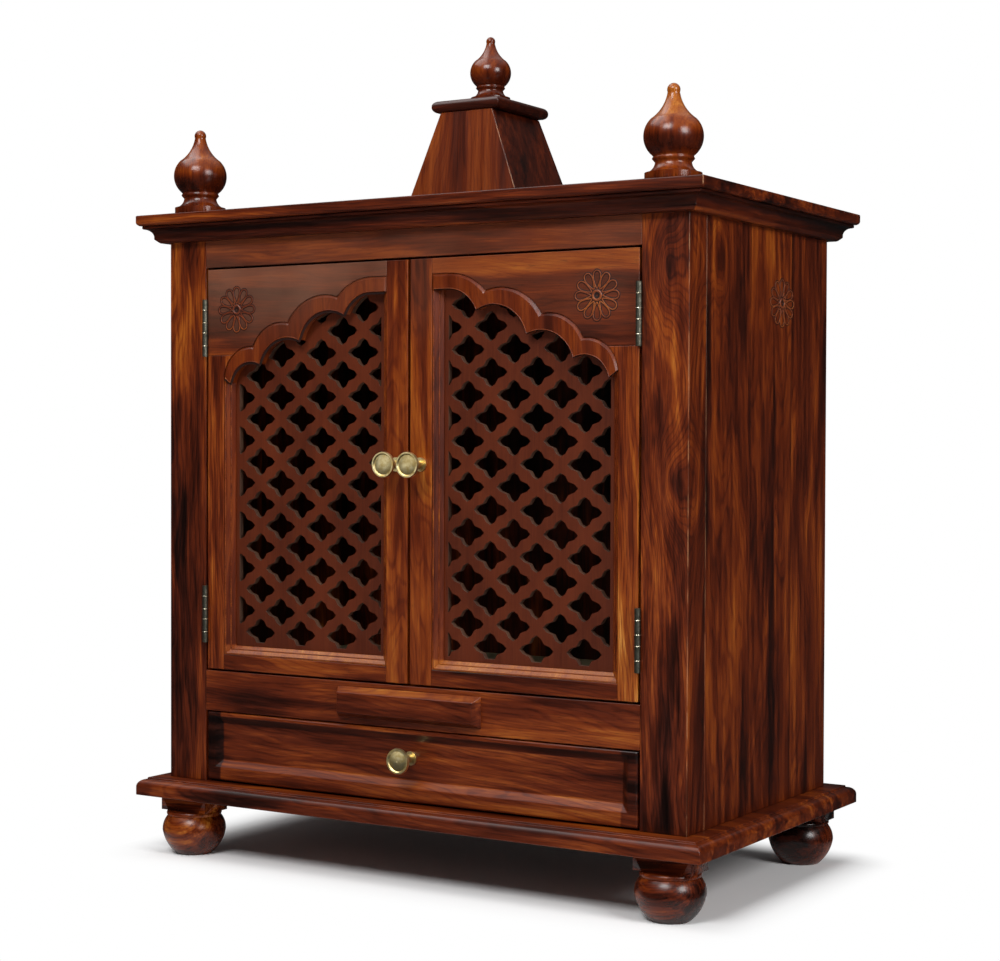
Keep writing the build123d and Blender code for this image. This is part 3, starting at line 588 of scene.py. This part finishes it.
def growth(name, sizes, on_path=False):
    """A geometry tree with named inputs for its sizes, ending in one material."""
    tree = bpy.data.node_groups.new(name, "GeometryNodeTree")
    tree.interface.new_socket("Geometry", in_out="OUTPUT", socket_type="NodeSocketGeometry")
    if on_path:
        tree.interface.new_socket("Geometry", in_out="INPUT", socket_type="NodeSocketGeometry")
    kinds = {int: "NodeSocketInt", float: "NodeSocketFloat"}
    for label, value in sizes.items():
        tree.interface.new_socket(label, in_out="INPUT", socket_type=kinds[type(value)])
    tree.interface.new_socket("Finish", in_out="INPUT", socket_type="NodeSocketMaterial")
    return tree, put(tree, "NodeGroupInput").node.outputs


def close_growth(tree, given, geometry):
    """Ends a geometry tree in real meshes with their material."""
    real = put(tree, "GeometryNodeRealizeInstances", geometry)
    smooth = put(tree, "GeometryNodeSetShadeSmooth", real, {"Shade Smooth": True})
    finish = {"Geometry": smooth, "Material": given["Finish"]}
    put(tree, "NodeGroupOutput", put(tree, "GeometryNodeSetMaterial", finish))


def grown_mesh(tree, sizes, finish, source=None):
    """The plain mesh that a geometry tree makes with the given sizes and finish."""
    base = source or bpy.data.meshes.new(tree.name)
    seed = bpy.data.objects.new(tree.name, base)
    bpy.context.scene.collection.objects.link(seed)
    modifier = seed.modifiers.new("growth", "NODES")
    modifier.node_group = tree
    for socket in tree.interface.items_tree:
        if socket.in_out == "INPUT" and socket.name != "Geometry":
            modifier[socket.identifier] = finish if socket.name == "Finish" else sizes[socket.name]
    evaluated = seed.evaluated_get(bpy.context.evaluated_depsgraph_get())
    mesh = bpy.data.meshes.new_from_object(evaluated)
    bpy.data.objects.remove(seed)
    return mesh


def joined(name, parts, material):
    """One object from several (mesh, matrix) pairs, with its normals set outwards."""
    shape = bmesh.new()
    for mesh, matrix in parts:
        moved = mesh.copy()
        moved.transform(matrix)
        shape.from_mesh(moved)
        bpy.data.meshes.remove(moved)
    bmesh.ops.remove_doubles(shape, verts=shape.verts, dist=1e-6)
    bmesh.ops.recalc_face_normals(shape, faces=shape.faces)
    mesh = bpy.data.meshes.new(name)
    shape.to_mesh(mesh)
    shape.free()
    smooth_by_angle(mesh, 40)
    return mesh_object(name, mesh, material)


CIRCLE = "GeometryNodeCurvePrimitiveCircle"
SWEEP = "GeometryNodeCurveToMesh"
SCATTER = "GeometryNodeInstanceOnPoints"


def rosette_tree(sizes):
    """A ring and an eye with petals round it, each petal a raised outline."""
    tree, given = growth("carved_rosette", sizes)
    span = put(tree, MATH, given["Outer"], given["Inner"], operation="SUBTRACT")
    half = put(tree, MATH, span, 0.5, operation="MULTIPLY")
    middle = put(tree, MATH, half, given["Inner"], operation="ADD")
    circle = put(tree, CIRCLE, {"Resolution": 28, "Radius": 1.0})
    spot = put(tree, SEPARATE, put(tree, "GeometryNodeInputPosition")).node.outputs
    far = put(tree, MATH, spot[0], half, middle, operation="MULTIPLY_ADD")
    swell = put(tree, MATH, spot[0], 0.42, 0.80, operation="MULTIPLY_ADD")
    wide = put(tree, MATH, spot[1], swell, operation="MULTIPLY")
    wide = put(tree, MATH, wide, given["Half width"], operation="MULTIPLY")
    leaf = {"Geometry": circle, "Position": put(tree, COMBINE, far, wide)}
    outline = put(tree, "GeometryNodeSetPosition", leaf)
    thread = put(tree, CIRCLE, {"Resolution": 8, "Radius": given["Ridge"]})
    petal = put(tree, SWEEP, {"Curve": outline, "Profile Curve": thread})
    places = put(tree, "GeometryNodePoints", {"Count": given["Petals"]})
    step = put(tree, MATH, 2 * math.pi, given["Petals"], operation="DIVIDE")
    number = put(tree, "GeometryNodeInputIndex")
    turned = put(tree, COMBINE, {2: put(tree, MATH, number, step, operation="MULTIPLY")})
    petals = put(tree, SCATTER, {"Points": places, "Instance": petal, "Rotation": turned})
    eye = put(tree, CIRCLE, {"Resolution": 32, "Radius": given["Eye"]})
    thick = put(tree, MATH, given["Ridge"], 2.0, operation="MULTIPLY")
    rope = put(tree, CIRCLE, {"Resolution": 10, "Radius": thick})
    boss = put(tree, SWEEP, {"Curve": eye, "Profile Curve": rope})
    whole = put(tree, "GeometryNodeJoinGeometry", petals)
    tree.links.new(boss, whole.node.inputs[0])
    close_growth(tree, given, whole)
    return tree


ROSETTE = {"Petals": 12, "Inner": 6.4 * MM, "Outer": 22.8 * MM, "Half width": 4.5 * MM,
           "Ridge": 0.62 * MM, "Eye": 4.2 * MM}
# The rosettes' ridges are painted paler as a highlight, and carry painted sheen
CARVED = sheesham("carved_sheesham_rosettes", "x", 71.0, 0.24, 0.5, 0.2)
carving = rosette_tree(ROSETTE)
rosette = grown_mesh(carving, ROSETTE, CARVED)
# Painted shade lies dark beside each ridge, and both are flatter than round threads
GROUND = {**ROSETTE, "Ridge": 1.5 * MM, "Eye": 3.6 * MM}
ground = grown_mesh(carving, GROUND, GROOVE_SHADE)
TO_FRONT = Matrix.Rotation(math.radians(90), 4, "X")
RIDGE_FLATNESS, GROUND_FLATNESS = 0.8, 0.08
DOOR_ROSETTE_X = {"left": -212.0 * MM, "right": 206.6 * MM}
DOOR_ROSETTE_Z = 563.8 * MM
SIDE_ROSETTE_Y, SIDE_ROSETTE_Z = 45 * MM, 565.5 * MM
# The sides' rosettes are stretched front to back
SIDE_STRETCH = 1.22


def carve(name, place, body):
    """A rosette and its ground of painted shade, each sunk by half into the face."""
    for label, mesh, flatness, finish in (
        ("", rosette, RIDGE_FLATNESS, CARVED),
        ("_ground", ground, GROUND_FLATNESS, GROOVE_SHADE),
    ):
        sunk = place @ Matrix.Diagonal((1.0, 1.0, flatness, 1.0))
        flower = joined(name + label, [(mesh, sunk)], finish)
        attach(flower, body)


for hand, sign in (("left", -1), ("right", 1)):
    spot = Matrix.Translation((DOOR_ROSETTE_X[hand], FRONT_Y, DOOR_ROSETTE_Z))
    carve(f"{hand}_door_rosette", spot @ TO_FRONT, f"{hand}_door")
    wider = Matrix.Diagonal((SIDE_STRETCH, 1.0, 1.0, 1.0))
    to_side = Matrix.Rotation(math.radians(90), 4, "Z") @ TO_FRONT
    spot = Matrix.Translation((sign * SIDE_X, SIDE_ROSETTE_Y, SIDE_ROSETTE_Z))
    carve(f"{hand}_side_rosette", spot @ to_side @ wider, "cabinet")


def rim_tree(sizes):
    """The rubbed rims of a hinge's knuckles, above and below the joints by turns."""
    tree, given = growth("hinge_rims", sizes)
    rim = put(tree, CIRCLE, {"Resolution": 24, "Radius": given["Rim radius"]})
    thread = put(tree, CIRCLE, {"Resolution": 8, "Radius": given["Rim half height"]})
    ring = put(tree, SWEEP, {"Curve": rim, "Profile Curve": thread})
    places = put(tree, "GeometryNodePoints", {"Count": given["Joints"]})
    number = put(tree, "GeometryNodeInputIndex")
    odd = put(tree, MATH, number, 2.0, operation="MODULO")
    nudge = put(tree, MATH, 0.5, odd, operation="SUBTRACT")
    nudge = put(tree, MATH, nudge, given["Offset"], operation="MULTIPLY")
    down = put(tree, MATH, number, 1.0, operation="ADD")
    down = put(tree, MATH, down, given["Pitch"], operation="MULTIPLY")
    level = put(tree, COMBINE, {2: put(tree, MATH, nudge, down, operation="SUBTRACT")})
    moved = put(tree, "GeometryNodeSetPosition", {"Geometry": places, "Position": level})
    close_growth(tree, given, put(tree, SCATTER, {"Points": moved, "Instance": ring}))
    return tree


def screw_tree(sizes):
    """Three slotted screw heads in a row along a hinge leaf."""
    tree, given = growth("hinge_screws", sizes)
    dome = {"Vertices": 20, "Radius Top": given["Crown"], "Radius Bottom": given["Head"]}
    head = put(tree, "GeometryNodeMeshCone", {**dome, "Depth": given["Height"]})
    slot_size = put(tree, COMBINE, given["Slot width"], 1.0, given["Height"])
    slot = put(tree, "GeometryNodeMeshCube", {"Size": slot_size})
    lifted = put(tree, COMBINE, {2: given["Height"]})
    slot = put(tree, "GeometryNodeTransform", {"Geometry": slot, "Translation": lifted})
    pair = {"Mesh 1": head, "Mesh 2": slot}
    cut = put(tree, "GeometryNodeMeshBoolean", pair, operation="DIFFERENCE")
    offset = put(tree, COMBINE, {1: given["Spacing"]})
    row = put(tree, "GeometryNodeMeshLine", {"Count": given["Screws"], "Offset": offset})
    close_growth(tree, given, put(tree, SCATTER, {"Points": row, "Instance": cut}))
    return tree


KNUCKLES = 5
HINGE_LENGTH = 58.5 * MM
HINGE_TOPS = (CARCASS_LOW + 496.0 * MM, CARCASS_LOW + 202.0 * MM)
HINGE_X = 251.15 * MM
HINGE_Y = -160.55 * MM
RIMS = {"Rim radius": 2.45 * MM, "Rim half height": 0.5 * MM, "Joints": KNUCKLES - 1,
        "Offset": 1.4 * MM, "Pitch": HINGE_LENGTH / KNUCKLES}
SCREWS = {"Crown": 2.0 * MM, "Head": 2.6 * MM, "Height": 0.3 * MM, "Slot width": 0.7 * MM,
          "Spacing": 20.0 * MM, "Screws": 3}
rims = grown_mesh(rim_tree(RIMS), RIMS, RIM_BRASS)
screws = grown_mesh(screw_tree(SCREWS), SCREWS, RIM_BRASS)
SCREW_Y = FRONT_Y + 9.5 * MM
LEAF = 0.9 * MM
for hand, sign in (("left", -1), ("right", 1)):
    ring_parts = [
        (rims, Matrix.Translation((sign * HINGE_X, HINGE_Y, hinge_top))) for hinge_top in HINGE_TOPS
    ]
    ring = joined(f"{hand}_hinge_rims", ring_parts, RIM_BRASS)
    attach(ring, "cabinet")
    # Screw heads stand on the leaves: one row on the door's leaf, one on the frame's
    end = 1 if sign > 0 else 0
    door_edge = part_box(f"{hand}_door_hinge_stile")[end].x
    frame_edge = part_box(f"{hand}_front_stile")[1 - end].x
    for body, leaf, edge, facing in (
        (f"{hand}_door", "door", door_edge, sign),
        ("cabinet", "frame", frame_edge, -sign),
    ):
        turn_up = Matrix(((0, 0, facing, 0), (facing, 0, 0, 0), (0, 1, 0, 0), (0, 0, 0, 1)))
        rows = []
        for hinge_top in HINGE_TOPS:
            low = hinge_top - HINGE_LENGTH / 2 - SCREWS["Spacing"]
            spot = Matrix.Translation((edge + facing * LEAF, SCREW_Y, low))
            rows.append((screws, spot @ turn_up))
        heads = joined(f"{hand}_hinge_{leaf}_screws", rows, RIM_BRASS)
        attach(heads, body)


def bead_tree(sizes):
    """A round bead along a path of edges."""
    tree, given = growth("moulding_bead", sizes, True)
    path = put(tree, "GeometryNodeMeshToCurve", given["Geometry"])
    thread = put(tree, CIRCLE, {"Resolution": 10, "Radius": given["Bead radius"]})
    bead = put(tree, SWEEP, {"Curve": path, "Profile Curve": thread, "Fill Caps": True})
    close_growth(tree, given, bead)
    return tree


# Fine beads run down the plain moulding of each door's sides and along its bottom
BEAD = {"Bead radius": 0.75 * MM}
BEAD_PLACES = (0.14, 0.62)
SLOPE_WIDTH = 8.8 * MM
SLOPE_DEPTH = 8.0 * MM
SLOPE_START = 0.5 * MM
BAND_HEIGHT = 16.5 * MM
SIDE_END = 283.5 * MM
BEADED = sheesham("beaded_sheesham", "x", 72.0, 0.20, 0.5)
UNMOVED = Matrix.Identity(4)
bead_growth = bead_tree(BEAD)
for hand, sign in (("left", -1), ("right", 1)):
    low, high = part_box(f"{hand}_door_moulding")
    inner_x, outer_x = (low.x, high.x) if sign > 0 else (high.x, low.x)
    beads = []
    for share in BEAD_PLACES:
        inset = share * SLOPE_WIDTH
        y = FRONT_Y + SLOPE_START + share * SLOPE_DEPTH
        left_x = inner_x + sign * inset
        right_x = outer_x - sign * inset
        path = bpy.data.meshes.new("bead_path")
        path.from_pydata(
            [(left_x, y, high.z - BAND_HEIGHT), (left_x, y, low.z + inset),
             (right_x, y, low.z + inset), (right_x, y, low.z + SIDE_END - inset)],
            [(0, 1), (1, 2), (2, 3)],
            [],
        )
        beads.append((grown_mesh(bead_growth, BEAD, BEADED, path), UNMOVED))
    trim = joined(f"{hand}_door_beads", beads, BEADED)
    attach(trim, f"{hand}_door")


def rim_path(node):
    """The outer edge of a moulding's raised arch, as a mesh of edges."""
    shape = bmesh.new()
    shape.from_mesh(merged_copy(node, True))
    front = min(corner.co.y for corner in shape.verts)
    spots, pairs = {}, []
    for edge in shape.edges:
        if max(abs(corner.co.y - front) for corner in edge.verts) > 0.05 * MM:
            continue
        walls = [face for face in edge.link_faces if abs(face.normal.y) < 0.1]
        if walls and abs(walls[0].normal.x) < 0.999:
            for corner in edge.verts:
                spots.setdefault(corner.index, (len(spots), corner.co.copy()))
            pairs.append(tuple(spots[corner.index][0] for corner in edge.verts))
    path = bpy.data.meshes.new("rim_path")
    path.from_pydata([spot for _, spot in spots.values()], pairs, [])
    shape.free()
    return path


# A pale bead along the arch's rim is a painted highlight, and a flat dark line against the arch,
# under the rim, is painted shade
RIM = {"Bead radius": 0.4 * MM}
SHADE_LINE_WIDTH = {"left": 3.0 * MM, "right": 1.3 * MM}
SHADE_LINE_FLATNESS = 0.15
for hand in ("left", "right"):
    path = rim_path(f"{hand}_door_moulding")
    thread = grown_mesh(bead_growth, RIM, BEADED, path)
    rim = joined(f"{hand}_door_arch_rim", [(thread, UNMOVED)], BEADED)
    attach(rim, f"{hand}_door")
    lower = Matrix.Translation((0, 1.0 * MM, 0))
    on_face = Matrix.Translation((0, FRONT_Y, 0))
    squash = Matrix.Diagonal((1.0, SHADE_LINE_FLATNESS, 1.0, 1.0))
    flat = on_face @ squash @ on_face.inverted() @ lower
    line = grown_mesh(bead_growth, {"Bead radius": SHADE_LINE_WIDTH[hand]}, GROOVE_SHADE, path)
    shade_line = joined(f"{hand}_door_arch_shade_line", [(line, flat)], GROOVE_SHADE)
    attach(shade_line, f"{hand}_door")

# Studio: white paper floor that keeps the shadow, three soft lamps and a card

FLOOR_REACH = 12.0
# The paper is plain under the cabinet, and has turned white by this far outside it
FOOTPRINT_INSET = 20 * MM
WHITE_BY = 70 * MM
# Lacquer sees the paper fade into a dim studio by this far outside the cabinet
DIM_BY = 80 * MM
DIM = 0.03
floor_mesh = bpy.data.meshes.new("studio_floor")
floor_mesh.from_pydata(
    [(-FLOOR_REACH, -FLOOR_REACH, 0), (FLOOR_REACH, -FLOOR_REACH, 0),
     (FLOOR_REACH, FLOOR_REACH, 0), (-FLOOR_REACH, FLOOR_REACH, 0)],
    [],
    [(0, 1, 2, 3)],
)
paper_material, tree = new_material("matt_white_paper")
place = put(tree, "ShaderNodeTexCoord", out="Object")
beyond = put(tree, VECTOR_MATH, place, operation="ABSOLUTE")
footprint = (cad_high.x - FOOTPRINT_INSET, cad_high.y - FOOTPRINT_INSET, 1.0)
beyond = put(tree, VECTOR_MATH, beyond, footprint, operation="SUBTRACT")
beyond = put(tree, VECTOR_MATH, beyond, (0, 0, 0), operation="MAXIMUM")
away = put(tree, VECTOR_MATH, beyond, operation="LENGTH", out="Value")
rays = put(tree, "ShaderNodeLightPath").node.outputs
paper = put(tree, "ShaderNodeBsdfDiffuse", srgb("#f6f6f6"))
white = put(tree, "ShaderNodeEmission", srgb("#ffffff"), 1.0)
dusk = put(tree, "ShaderNodeEmission", srgb("#ffffff"), DIM)
whiten = put(tree, RANGE, away, 0.0, WHITE_BY, interpolation_type="SMOOTHSTEP")
darken = put(tree, RANGE, away, 0.0, DIM_BY)
seen = put(tree, "ShaderNodeMixShader", whiten, paper, white)
shone = put(tree, "ShaderNodeMixShader", darken, paper, dusk)
surface = put(tree, "ShaderNodeMixShader", rays["Is Camera Ray"], paper, seen)
surface = put(tree, "ShaderNodeMixShader", rays["Is Glossy Ray"], surface, shone)
put(tree, OUTPUT, {"Surface": surface})
floor = mesh_object("studio_floor", floor_mesh, paper_material)

# The backdrop is white; a glossy surface sees it above dark drapes at eye level
DRAPE_TOP = (0.42, 0.85)
DRAPE_SHINE = (0.02, 0.7)
ROOM_FILL = 0.12
world = bpy.data.worlds.new("studio")
bpy.context.scene.world = world
world.use_nodes = True
tree = world.node_tree
tree.nodes.clear()
rays = put(tree, "ShaderNodeLightPath").node.outputs
sight = put(tree, "ShaderNodeTexCoord", out="Generated")
rise = put(tree, SEPARATE, sight, out=2)
drapes = put(tree, RANGE, rise, *DRAPE_TOP, *DRAPE_SHINE, interpolation_type="SMOOTHSTEP")
clear = put(tree, MATH, rays["Is Camera Ray"], rays["Is Transmission Ray"], operation="MAXIMUM")
shine = put(tree, MATH, rays["Is Glossy Ray"], drapes, operation="MULTIPLY")
lit = put(tree, MATH, clear, shine, operation="ADD")
strength = put(tree, MATH, rays["Is Diffuse Ray"], ROOM_FILL, lit, operation="MULTIPLY_ADD")
sky = put(tree, "ShaderNodeBackground", srgb("#ffffff"), strength)
put(tree, "ShaderNodeOutputWorld", sky)


def soft_lamp(name, place, aim, size, power):
    """A soft box at a place, turned to a point."""
    data = bpy.data.lights.new(name, "AREA")
    data.shape = "RECTANGLE"
    data.size, data.size_y = size
    data.energy = power
    lamp = bpy.data.objects.new(name, data)
    bpy.context.scene.collection.objects.link(lamp)
    lamp.location = place
    lamp.rotation_euler = (Vector(aim) - Vector(place)).to_track_quat("-Z", "Y").to_euler()
    return lamp


soft_lamp("front_soft_box", (0.27, -1.97, 2.07), (0, 0, 0.42), (1.1, 0.8), 43)
soft_lamp("right_soft_box", (2.26, -0.84, 1.37), (0, 0, 0.42), (0.9, 0.9), 39)
soft_lamp("top_soft_box", (-1.1, -0.5, 2.6), (-0.1, 0, 0.3), (2.2, 1.6), 30)

# A white card at the left shows only in the brass, as a lamp linked to it alone
card = soft_lamp("card_for_brass", (-1.15, -2.05, 0.55), (0, -0.18, 0.40), (1.6, 1.4), 5.5)
polished = bpy.data.collections.new("brass_seen_by_card")
for node in ("left_door_knob", "right_door_knob", "drawer_knob"):
    polished.objects.link(frame["nodes"][node])
card.light_linking.receiver_collection = polished
